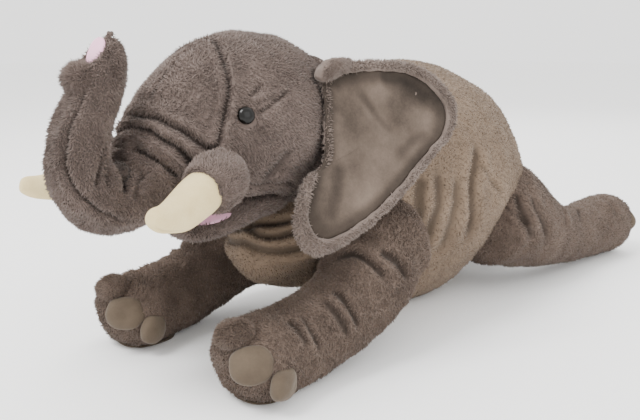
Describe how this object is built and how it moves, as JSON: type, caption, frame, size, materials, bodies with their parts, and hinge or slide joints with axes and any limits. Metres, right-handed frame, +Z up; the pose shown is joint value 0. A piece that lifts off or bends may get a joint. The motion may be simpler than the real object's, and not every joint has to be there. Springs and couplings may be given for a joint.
{
  "type": "plush elephant",
  "caption": "Large stuffed elephant lying on its belly, forelegs forward and hind legs back, trunk raised, with floppy lined ears, padded tusks and an open jaw.",
  "frame": {"origin": "the flat of the belly where it rests, on the sagittal plane under the middle of the torso", "axes": "+Z up, -Y the way the elephant faces, +X its left side"},
  "size_m": [0.2654, 0.7747, 0.2789],
  "materials": {
    "plush": "short mottled plush",
    "fibre_stuffing": "loose polyester fibre",
    "ear_velvet": "crushed velvet",
    "pink_lining": "short smooth pile",
    "tusk_fabric": "short smooth pile",
    "nail_fabric": "short smooth pile",
    "eye_plastic": "gloss",
    "washer_plastic": "matt",
    "tuft_plush": "long plush"
  },
  "bodies": {
    "torso": {"torso_cover": "plush", "torso_stuffing": "fibre_stuffing"},
    "tail": {"tail": "plush", "tail_tuft": "tuft_plush"},
    "head": {"head_cover": "plush", "head_stuffing": "fibre_stuffing", "eye_left": "eye_plastic", "eye_right": "eye_plastic", "eye_washer_left": "washer_plastic", "eye_washer_right": "washer_plastic", "palate_lining": "pink_lining", "tusk_pouch_left": "plush", "tusk_pouch_right": "plush", "tusk_cover_left": "tusk_fabric", "tusk_cover_right": "tusk_fabric", "tusk_stuffing_left": "fibre_stuffing", "tusk_stuffing_right": "fibre_stuffing"},
    "jaw": {"jaw_cover": "plush", "jaw_stuffing": "fibre_stuffing", "jaw_lining": "pink_lining"},
    "trunk": {"trunk_cover": "plush", "trunk_stuffing": "fibre_stuffing", "nostril_lining": "pink_lining", "trunk_tip_lip": "plush"},
    "ear_left": {"ear_plush_left": "plush", "ear_lining_left": "ear_velvet"},
    "ear_right": {"ear_plush_right": "plush", "ear_lining_right": "ear_velvet"},
    "foreleg_left": {"foreleg_cover_left": "plush", "foreleg_stuffing_left": "fibre_stuffing", "foresole_left": "nail_fabric", "forenail_inner_left": "nail_fabric", "forenail_middle_left": "nail_fabric", "forenail_outer_left": "nail_fabric"},
    "foreleg_right": {"foreleg_cover_right": "plush", "foreleg_stuffing_right": "fibre_stuffing", "foresole_right": "nail_fabric", "forenail_inner_right": "nail_fabric", "forenail_middle_right": "nail_fabric", "forenail_outer_right": "nail_fabric"},
    "hindleg_left": {"hindleg_cover_left": "plush", "hindleg_stuffing_left": "fibre_stuffing", "hindnail_inner_left": "nail_fabric", "hindnail_middle_left": "nail_fabric", "hindnail_outer_left": "nail_fabric"},
    "hindleg_right": {"hindleg_cover_right": "plush", "hindleg_stuffing_right": "fibre_stuffing", "hindnail_inner_right": "nail_fabric", "hindnail_middle_right": "nail_fabric", "hindnail_outer_right": "nail_fabric"}
  },
  "joints": [
    {"name": "neck_nod", "type": "hinge", "parent": "torso", "child": "head", "pos_m": [0, -0.155, 0.19], "axis": [1, 0, 0], "range_deg": [-8, 8], "stiffness_Nm_per_rad": 12, "springref_deg": -1.72},
    {"name": "trunk_curl", "type": "hinge", "parent": "head", "child": "trunk", "pos_m": [0, -0.3, 0.178], "axis": [1, 0, 0], "range_deg": [-3, 8], "stiffness_Nm_per_rad": 2.5, "springref_deg": -0.57},
    {"name": "jaw_open", "type": "hinge", "parent": "head", "child": "jaw", "pos_m": [0, -0.222, 0.136], "axis": [1, 0, 0], "range_deg": [0, 12], "stiffness_Nm_per_rad": 1, "springref_deg": -0.57},
    {"name": "ear_flap_left", "type": "hinge", "parent": "head", "child": "ear_left", "pos_m": [0.0785, -0.193, 0.205], "axis": [0.2337, -0.222, -0.9466], "range_deg": [-2, 18], "stiffness_Nm_per_rad": 0.4},
    {"name": "ear_flap_right", "type": "hinge", "parent": "head", "child": "ear_right", "pos_m": [-0.0785, -0.193, 0.205], "axis": [0.2337, 0.222, 0.9466], "range_deg": [-2, 18], "stiffness_Nm_per_rad": 0.4},
    {"name": "foreleg_swing_left", "type": "hinge", "parent": "torso", "child": "foreleg_left", "pos_m": [0.06998, -0.118, 0.088], "axis": [0, 0, 1], "range_deg": [-6, 10], "stiffness_Nm_per_rad": 4},
    {"name": "foreleg_swing_right", "type": "hinge", "parent": "torso", "child": "foreleg_right", "pos_m": [-0.06998, -0.118, 0.088], "axis": [0, 0, -1], "range_deg": [-6, 10], "stiffness_Nm_per_rad": 4},
    {"name": "hindleg_swing_left", "type": "hinge", "parent": "torso", "child": "hindleg_left", "pos_m": [0.0661, 0.11, 0.08], "axis": [0, 0, -1], "range_deg": [-6, 10], "stiffness_Nm_per_rad": 4},
    {"name": "hindleg_swing_right", "type": "hinge", "parent": "torso", "child": "hindleg_right", "pos_m": [-0.0661, 0.11, 0.08], "axis": [0, 0, 1], "range_deg": [-6, 10], "stiffness_Nm_per_rad": 4},
    {"name": "tail_swing", "type": "hinge", "parent": "torso", "child": "tail", "pos_m": [0, 0.16942, 0.13709], "axis": [0, 1, 0], "range_deg": [-12, 12], "stiffness_Nm_per_rad": 0.1}
  ]
}
